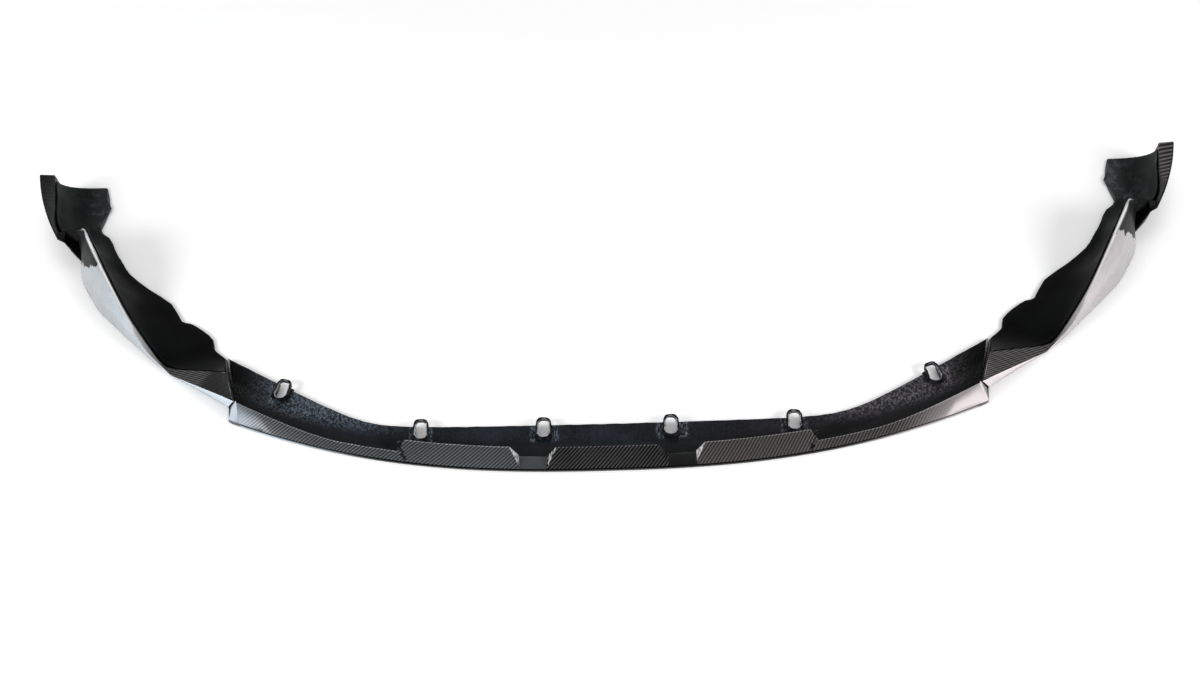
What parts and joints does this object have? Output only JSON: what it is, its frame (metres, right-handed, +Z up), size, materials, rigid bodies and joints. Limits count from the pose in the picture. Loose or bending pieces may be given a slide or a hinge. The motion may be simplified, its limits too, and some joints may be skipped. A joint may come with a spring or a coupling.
{
  "type": "front splitter lip",
  "caption": "Gloss carbon-fibre front splitter lip for a car bumper, with wedge blocks on its front edge, slotted mounting ears and upswept side blades.",
  "frame": {"origin": "middle of the width and of the depth, on the floor it rests on", "axes": "+X to the right in the picture along the width, +Y from the nose to the swept-back ends, +Z up"},
  "size_m": [1.84, 0.609, 0.1013],
  "materials": {
    "gloss_laminate": "clear-coated carbon twill",
    "rough_laminate": "rough resin side of carbon laminate",
    "satin_laminate": "satin resin over carbon laminate",
    "ear_laminate": "thick black resin"
  },
  "bodies": {
    "root": {"centre_lower_skin": "rough_laminate", "centre_upper_skin": "gloss_laminate", "mounting_ear_1": "ear_laminate", "mounting_ear_2": "ear_laminate", "mounting_ear_3": "ear_laminate", "mounting_ear_4": "ear_laminate", "mounting_ear_5": "ear_laminate", "mounting_ear_6": "ear_laminate", "left_outer_skin": "gloss_laminate", "left_inner_skin": "satin_laminate", "right_outer_skin": "gloss_laminate", "right_inner_skin": "satin_laminate"}
  },
  "joints": []
}
